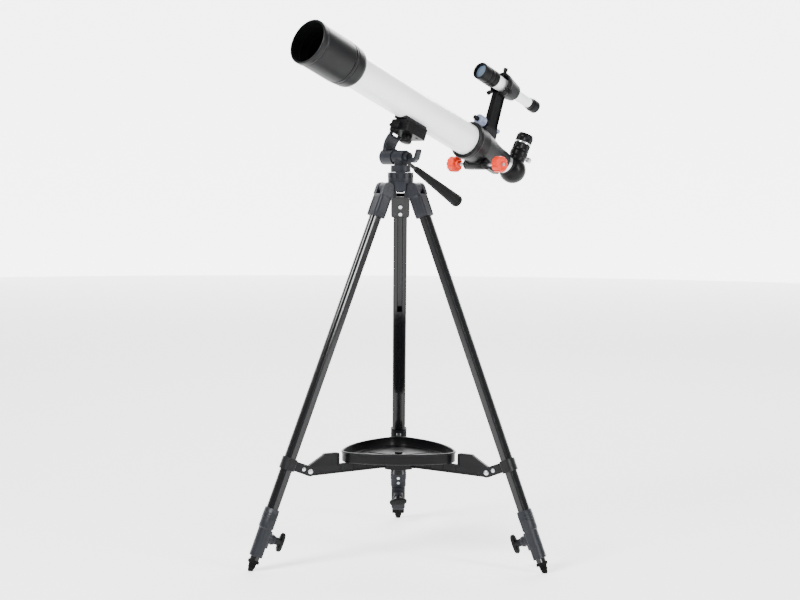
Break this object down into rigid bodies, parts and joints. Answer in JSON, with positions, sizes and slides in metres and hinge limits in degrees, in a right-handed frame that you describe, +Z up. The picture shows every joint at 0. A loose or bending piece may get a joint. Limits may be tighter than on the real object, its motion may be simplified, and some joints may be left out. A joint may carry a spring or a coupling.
{
  "type": "telescope on tripod",
  "caption": "Small refractor telescope with a star diagonal and a finder on a folding tripod with extending legs, an accessory tray and a pan and tilt head.",
  "frame": {"origin": "on the floor, under the centre of the tripod", "axes": "+Z up, +Y towards the rear leg, +X to the right as seen from the front"},
  "size_m": [0.4855, 0.4478, 0.8658],
  "materials": {
    "leg_black": "gloss black anodised",
    "cast_grey": "satin dark grey",
    "black_plastic": "satin black",
    "shield_black": "satin black",
    "white_tube": "gloss white",
    "steel": "bright",
    "chrome": "polished",
    "orange_knob": "gloss orange-red",
    "blue_nut": "satin blue grey",
    "rubber": "matt",
    "grip": "ribbed, matt",
    "glass": "coated",
    "mirror": "polished"
  },
  "bodies": {
    "stand": {"crown": "cast_grey", "hinge_pins": "cast_grey", "pan_base": "cast_grey"},
    "leg_1": {"leg_bracket_1": "cast_grey", "leg_upper_1": "leg_black", "leg_clamp_1": "black_plastic", "leg_rivets_1": "steel", "leg_lock_1": "cast_grey"},
    "leg_2": {"leg_bracket_2": "cast_grey", "leg_upper_2": "leg_black", "leg_clamp_2": "black_plastic", "leg_rivets_2": "steel", "leg_lock_2": "cast_grey"},
    "leg_3": {"leg_bracket_3": "cast_grey", "leg_upper_3": "leg_black", "leg_clamp_3": "black_plastic", "leg_rivets_3": "steel", "leg_lock_3": "cast_grey"},
    "lower_leg_1": {"leg_lower_1": "leg_black", "foot_1": "rubber"},
    "leg_knob_1": {"wing_knob_1": "black_plastic"},
    "spreader_1": {"arm_1": "black_plastic"},
    "lower_leg_2": {"leg_lower_2": "leg_black", "foot_2": "rubber"},
    "leg_knob_2": {"wing_knob_2": "black_plastic"},
    "spreader_2": {"arm_2": "black_plastic"},
    "lower_leg_3": {"leg_lower_3": "leg_black", "foot_3": "rubber"},
    "leg_knob_3": {"wing_knob_3": "black_plastic"},
    "spreader_3": {"arm_3": "black_plastic"},
    "spreader_hub": {"hub": "black_plastic"},
    "accessory_tray": {"tray": "black_plastic"},
    "tray_screw": {"tray_knob": "black_plastic"},
    "pan_lock": {"pan_lock_screw": "black_plastic"},
    "turret": {"pan_turret": "cast_grey"},
    "tilt_clamp": {"tilt_lever": "cast_grey"},
    "tilt_head": {"tilt_frame": "cast_grey", "handle_rod": "shield_black"},
    "grip": {"handle_grip": "grip"},
    "scope": {"platform": "black_plastic", "plate": "black_plastic", "tube_saddle": "shield_black", "main_tube": "white_tube", "dew_shield": "shield_black", "lens_cell": "shield_black", "objective_lens": "glass", "focuser_body": "shield_black", "finder_bracket": "black_plastic", "finder_tube": "white_tube", "finder_cell": "black_plastic", "finder_screws": "blue_nut"},
    "plate_latch": {"plate_lever": "black_plastic"},
    "draw": {"drawtube": "chrome"},
    "focus_pinion": {"pinion_shaft": "steel", "focus_knobs": "orange_knob"},
    "star_diagonal": {"diagonal": "black_plastic", "diagonal_mirror": "mirror"},
    "ocular": {"eyepiece": "black_plastic"},
    "ocular_screw": {"eyepiece_screw": "steel"},
    "finder_ocular": {"finder_eyepiece": "black_plastic"}
  },
  "joints": [
    {"name": "fold_1", "type": "hinge", "parent": "stand", "child": "leg_1", "pos_m": [0, 0.0295, 0.606], "axis": [-1, 0, 0], "range_deg": [0, 4]},
    {"name": "fold_2", "type": "hinge", "parent": "stand", "child": "leg_2", "pos_m": [-0.02555, -0.01475, 0.606], "axis": [0.5, -0.866, 0], "range_deg": [0, 4]},
    {"name": "fold_3", "type": "hinge", "parent": "stand", "child": "leg_3", "pos_m": [0.02555, -0.01475, 0.606], "axis": [0.5, 0.866, 0], "range_deg": [0, 4]},
    {"name": "extend_1", "type": "slide", "parent": "leg_1", "child": "lower_leg_1", "axis": [0, 0.3706, -0.9288], "range_m": [0, 0.3]},
    {"name": "leg_lock_turn_1", "type": "hinge", "parent": "leg_1", "child": "leg_knob_1", "pos_m": [0, 0.22214, 0.0422], "axis": [0, 0.9288, 0.3706], "range_deg": [-180, 180]},
    {"name": "spread_1", "type": "hinge", "parent": "leg_1", "child": "spreader_1", "pos_m": [0, 0.16699, 0.1514], "axis": [-1, 0, 0], "range_deg": [0, 35.69]},
    {"name": "extend_2", "type": "slide", "parent": "leg_2", "child": "lower_leg_2", "axis": [-0.3209, -0.1853, -0.9288], "range_m": [0, 0.3]},
    {"name": "leg_lock_turn_2", "type": "hinge", "parent": "leg_2", "child": "leg_knob_2", "pos_m": [-0.19237, -0.11107, 0.0422], "axis": [-0.8044, -0.4644, 0.3706], "range_deg": [-180, 180]},
    {"name": "spread_2", "type": "hinge", "parent": "leg_2", "child": "spreader_2", "pos_m": [-0.14462, -0.0835, 0.1514], "axis": [0.5, -0.866, 0], "range_deg": [0, 35.69]},
    {"name": "extend_3", "type": "slide", "parent": "leg_3", "child": "lower_leg_3", "axis": [0.3209, -0.1853, -0.9288], "range_m": [0, 0.3]},
    {"name": "leg_lock_turn_3", "type": "hinge", "parent": "leg_3", "child": "leg_knob_3", "pos_m": [0.19237, -0.11107, 0.0422], "axis": [0.8044, -0.4644, 0.3706], "range_deg": [-180, 180]},
    {"name": "spread_3", "type": "hinge", "parent": "leg_3", "child": "spreader_3", "pos_m": [0.14462, -0.0835, 0.1514], "axis": [0.5, 0.866, 0], "range_deg": [0, 35.69]},
    {"name": "hub_rise", "type": "slide", "parent": "stand", "child": "spreader_hub", "axis": [0, 0, 1], "range_m": [0, 0.08324]},
    {"name": "tray_turn", "type": "hinge", "parent": "spreader_hub", "child": "accessory_tray", "pos_m": [0, 0, 0.16], "axis": [0, 0, 1], "continuous": true},
    {"name": "tray_knob_turn", "type": "hinge", "parent": "spreader_hub", "child": "tray_screw", "pos_m": [0, 0, 0.135], "axis": [0, 0, 1], "continuous": true},
    {"name": "pan_lock_turn", "type": "hinge", "parent": "stand", "child": "pan_lock", "pos_m": [-0.00183, 0.02092, 0.623], "axis": [-0.0872, 0.9962, 0], "range_deg": [-180, 180]},
    {"name": "pan", "type": "hinge", "parent": "stand", "child": "turret", "pos_m": [0, 0, 0.626], "axis": [0, 0, 1], "continuous": true},
    {"name": "tilt_lock_turn", "type": "hinge", "parent": "turret", "child": "tilt_clamp", "pos_m": [0, 0, 0.656], "axis": [-0.7114, 0.7028, 0], "range_deg": [-30, 60]},
    {"name": "tilt", "type": "hinge", "parent": "turret", "child": "tilt_head", "pos_m": [0, 0, 0.656], "axis": [-0.7114, 0.7028, 0], "range_deg": [-50, 20]},
    {"name": "grip_turn", "type": "hinge", "parent": "tilt_head", "child": "grip", "pos_m": [0.04715, 0.08366, 0.62012], "axis": [-0.6202, -0.6278, 0.4704], "continuous": true},
    {"name": "side_flip", "type": "hinge", "parent": "tilt_head", "child": "scope", "pos_m": [-0.00678, 0.02942, 0.69692], "axis": [0.6536, 0.6616, -0.3675], "range_deg": [-90, 0]},
    {"name": "plate_latch_turn", "type": "hinge", "parent": "scope", "child": "plate_latch", "pos_m": [-0.00511, -0.00518, 0.70834], "axis": [-0.6536, -0.6616, 0.3675], "range_deg": [0, 80]},
    {"name": "focus", "type": "slide", "parent": "scope", "child": "draw", "axis": [0.6536, 0.6616, -0.3675], "range_m": [0, 0.04]},
    {"name": "focus_turn", "type": "hinge", "parent": "scope", "child": "focus_pinion", "pos_m": [0.13044, 0.13205, 0.64545], "axis": [-0.7114, 0.7028, 0], "range_deg": [0, 382.07]},
    {"name": "diagonal_turn", "type": "hinge", "parent": "draw", "child": "star_diagonal", "pos_m": [0.17748, 0.17966, 0.65019], "axis": [-0.6536, -0.6616, 0.3675], "continuous": true},
    {"name": "eyepiece_out", "type": "slide", "parent": "star_diagonal", "child": "ocular", "axis": [0.3547, 0.1611, 0.921], "range_m": [0, 0.02]},
    {"name": "eyepiece_screw_turn", "type": "hinge", "parent": "star_diagonal", "child": "ocular_screw", "pos_m": [0.22039, 0.21775, 0.65632], "axis": [-0.6536, -0.6616, 0.3675], "range_deg": [-180, 180]},
    {"name": "finder_focus", "type": "slide", "parent": "scope", "child": "finder_ocular", "axis": [0.6536, 0.6616, -0.3675], "range_m": [0, 0.006]}
  ],
  "couplings": [
    {"joint": "spread_1", "follows": "fold_1", "ratio": 8.9196},
    {"joint": "spread_2", "follows": "fold_1", "ratio": 8.9196},
    {"joint": "fold_2", "follows": "fold_1", "ratio": 1},
    {"joint": "spread_3", "follows": "fold_1", "ratio": 8.9196},
    {"joint": "fold_3", "follows": "fold_1", "ratio": 1},
    {"joint": "hub_rise", "follows": "fold_1", "m_per_rad": 1.1909},
    {"joint": "focus_turn", "follows": "focus", "rad_per_m": 166.67}
  ]
}
